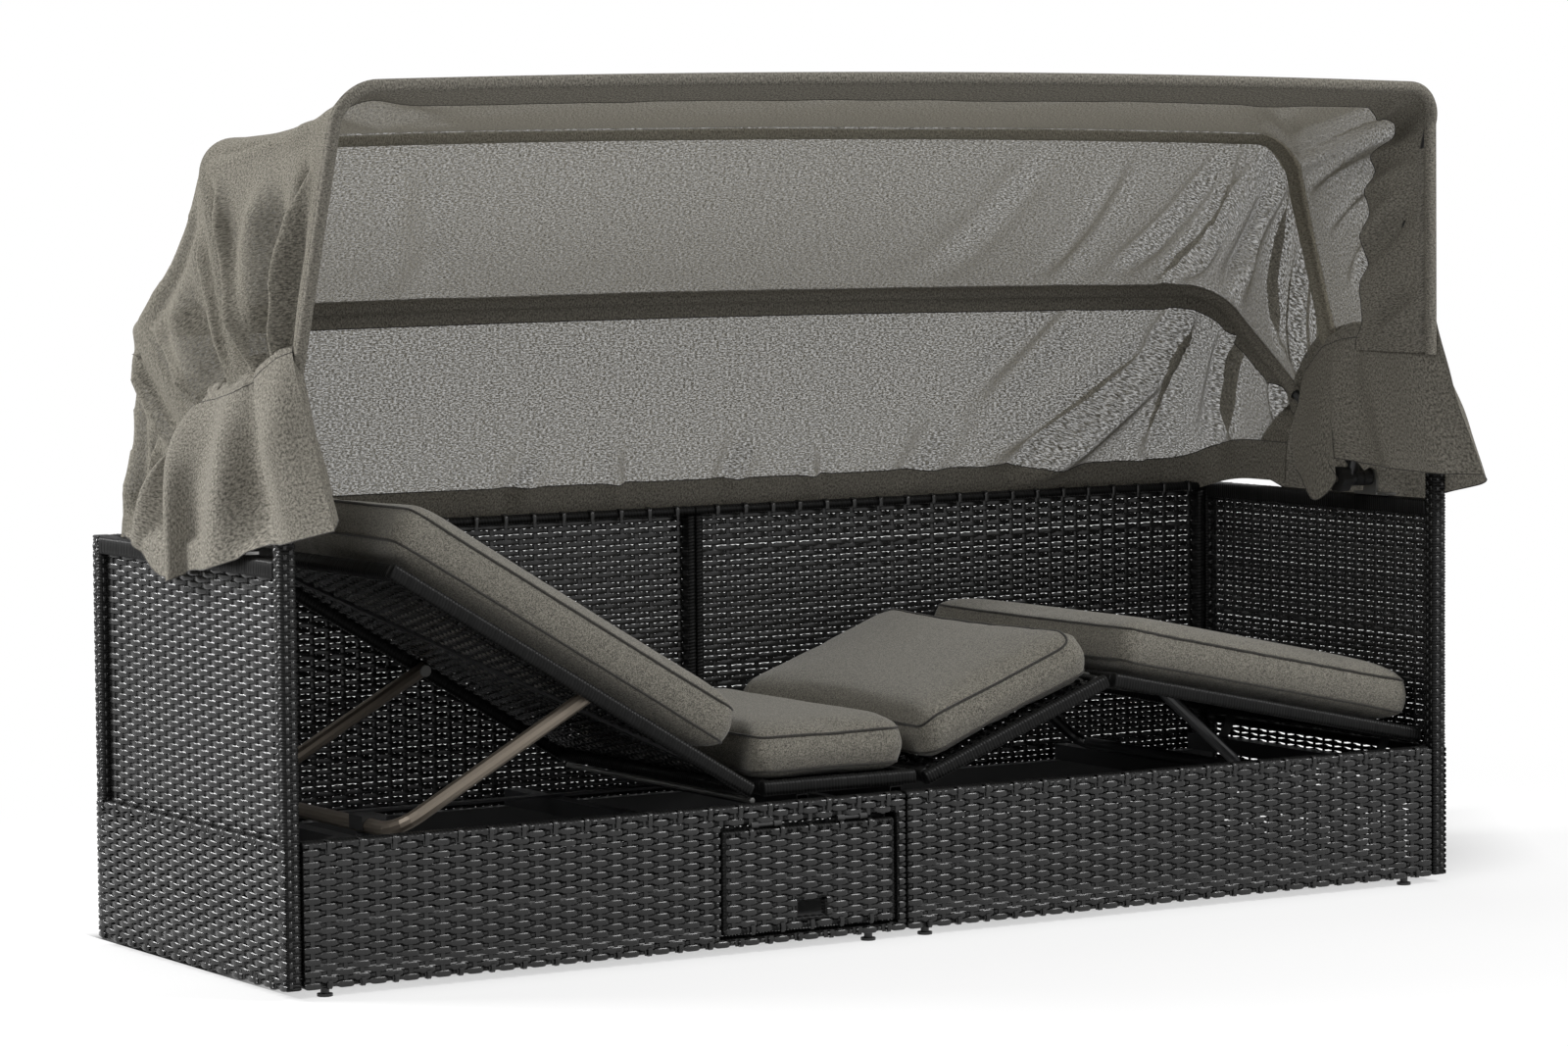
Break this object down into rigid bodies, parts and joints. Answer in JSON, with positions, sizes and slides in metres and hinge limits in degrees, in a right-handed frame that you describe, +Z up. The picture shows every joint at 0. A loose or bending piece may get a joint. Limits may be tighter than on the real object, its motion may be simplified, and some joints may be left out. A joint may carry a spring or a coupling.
{
  "type": "daybed",
  "caption": "Outdoor daybed: woven box with arms and back, lounger with raised backrest and knees, boxed cushions, storage flap and a folding cloth canopy on hoops",
  "frame": {"origin": "on the floor, under the middle of the whole outline", "axes": "+X along the bed from the head end to the foot end, -Y towards the front where a person gets on, +Z up"},
  "size_m": [2.0642, 0.751, 1.2501],
  "materials": {
    "wicker": "anthracite woven synthetic wicker, satin",
    "dark_tube": "black powder-coated tube, semi-matt",
    "prop_tube": "bronze coated tube, satin",
    "canopy_cloth": "thin grey-beige mottled polyester cloth, matt and slightly see-through",
    "cushion_cover": "grey-beige mottled polyester with dark piping, matt",
    "black_plastic": "moulded black plastic, matt",
    "hinge_steel": "zinc-plated steel, satin"
  },
  "bodies": {
    "base": {"end_panel_left": "wicker", "end_panel_right": "wicker", "front_panel_left": "wicker", "front_panel_right": "wicker", "back_panel_left": "wicker", "back_panel_right": "wicker", "base_rail_front": "dark_tube", "base_rail_rear": "dark_tube", "head_cross_tube": "dark_tube", "back_cross_tube": "dark_tube", "seat_cross_tube": "dark_tube", "knee_cross_tube": "dark_tube", "foot_cross_tube": "dark_tube", "glide_front_left_outer": "black_plastic", "glide_front_left_inner": "black_plastic", "glide_front_right_outer": "black_plastic", "glide_front_right_inner": "black_plastic", "glide_rear_left_outer": "black_plastic", "glide_rear_left_inner": "black_plastic", "glide_rear_right_outer": "black_plastic", "glide_rear_right_inner": "black_plastic", "flap_hinge_left": "black_plastic", "flap_hinge_right": "black_plastic", "foot_hinge_rod": "hinge_steel", "canopy_bracket_left": "hinge_steel", "canopy_bracket_right": "hinge_steel", "canopy_skirt_left": "canopy_cloth", "canopy_skirt_right": "canopy_cloth"},
    "storage_flap": {"storage_flap": "wicker"},
    "seat_carriage": {"seat_deck": "wicker", "seat_cushion": "cushion_cover", "prop_rack_front": "dark_tube", "prop_rack_rear": "dark_tube", "seat_bar_head": "dark_tube", "seat_bar_foot": "dark_tube", "backrest_hinge_rod": "hinge_steel"},
    "backrest": {"backrest_deck": "wicker", "backrest_cushion": "cushion_cover", "backrest_brace": "dark_tube", "prop_bolt_rear": "hinge_steel", "prop_bolt_front": "hinge_steel"},
    "prop": {"backrest_prop": "prop_tube", "prop_catch_clip": "black_plastic"},
    "leg_part": {"leg_deck": "wicker", "leg_cushion": "cushion_cover", "knee_hinge_rod": "hinge_steel", "knee_prop_rod": "hinge_steel"},
    "knee_prop": {"knee_prop": "dark_tube"},
    "thigh_part": {"thigh_deck": "wicker", "thigh_cushion": "cushion_cover"},
    "canopy_rear": {"rear_hoop": "dark_tube", "canopy_cloth_back": "canopy_cloth"},
    "canopy_middle": {"middle_hoop": "dark_tube", "canopy_cloth_top": "canopy_cloth"},
    "canopy_front": {"front_hoop": "dark_tube", "canopy_cloth_front": "canopy_cloth"},
    "knob_left": {"canopy_knob_left": "black_plastic"},
    "knob_right": {"canopy_knob_right": "black_plastic"}
  },
  "joints": [
    {"name": "backrest_recline", "type": "hinge", "parent": "seat_carriage", "child": "backrest", "pos_m": [-0.238, 0.0495, 0.213], "axis": [0, 1, 0], "range_deg": [-31, 12]},
    {"name": "prop_fold", "type": "hinge", "parent": "backrest", "child": "prop", "pos_m": [-0.49935, 0.0495, 0.37412], "axis": [0, 1, 0], "range_deg": [-22.2, 57]},
    {"name": "leg_recline", "type": "hinge", "parent": "base", "child": "leg_part", "pos_m": [0.966, 0.0495, 0.222], "axis": [0, 1, 0], "range_deg": [-11.8, 0]},
    {"name": "thigh_fold", "type": "hinge", "parent": "leg_part", "child": "thigh_part", "pos_m": [0.38717, 0.0495, 0.3511], "axis": [0, 1, 0], "range_deg": [0, 32.7]},
    {"name": "knee_prop_fold", "type": "hinge", "parent": "leg_part", "child": "knee_prop", "pos_m": [0.52561, 0.0495, 0.31451], "axis": [0, 1, 0], "range_deg": [-24.1, 0]},
    {"name": "seat_slide", "type": "slide", "parent": "base", "child": "seat_carriage", "axis": [1, 0, 0], "range_m": [-0.0322, 0]},
    {"name": "flap_open", "type": "hinge", "parent": "base", "child": "storage_flap", "pos_m": [-0.1675, -0.256, 0.183], "axis": [-1, 0, 0], "range_deg": [0, 95]},
    {"name": "canopy_fold", "type": "hinge", "parent": "base", "child": "canopy_rear", "pos_m": [0, -0.1005, 0.622], "axis": [-1, 0, 0], "range_deg": [0, 32.6], "deforming": ["canopy_cloth_back", "canopy_skirt_left", "canopy_skirt_right"]},
    {"name": "canopy_fold_middle", "type": "hinge", "parent": "canopy_rear", "child": "canopy_middle", "pos_m": [0, -0.1005, 0.622], "axis": [-1, 0, 0], "range_deg": [0, 32.4], "deforming": ["canopy_cloth_top"]},
    {"name": "canopy_fold_front", "type": "hinge", "parent": "canopy_middle", "child": "canopy_front", "pos_m": [0, -0.1005, 0.622], "axis": [-1, 0, 0], "range_deg": [0, 36.1], "deforming": ["canopy_cloth_front"]},
    {"name": "knob_left_turn", "type": "hinge", "parent": "base", "child": "knob_left", "pos_m": [-0.915, -0.1005, 0.622], "axis": [1, 0, 0], "continuous": true},
    {"name": "knob_right_turn", "type": "hinge", "parent": "base", "child": "knob_right", "pos_m": [0.915, -0.1005, 0.622], "axis": [1, 0, 0], "continuous": true}
  ],
  "couplings": [
    {"joint": "prop_fold", "follows": "backrest_recline", "ratio": -1.834},
    {"joint": "thigh_fold", "follows": "leg_recline", "ratio": -2.7627},
    {"joint": "knee_prop_fold", "follows": "leg_recline", "ratio": 2.03},
    {"joint": "seat_slide", "follows": "leg_recline", "m_per_rad": 0.15538},
    {"joint": "canopy_fold_middle", "follows": "canopy_fold", "ratio": 0.9908},
    {"joint": "canopy_fold_front", "follows": "canopy_fold", "ratio": 1.1043}
  ]
}
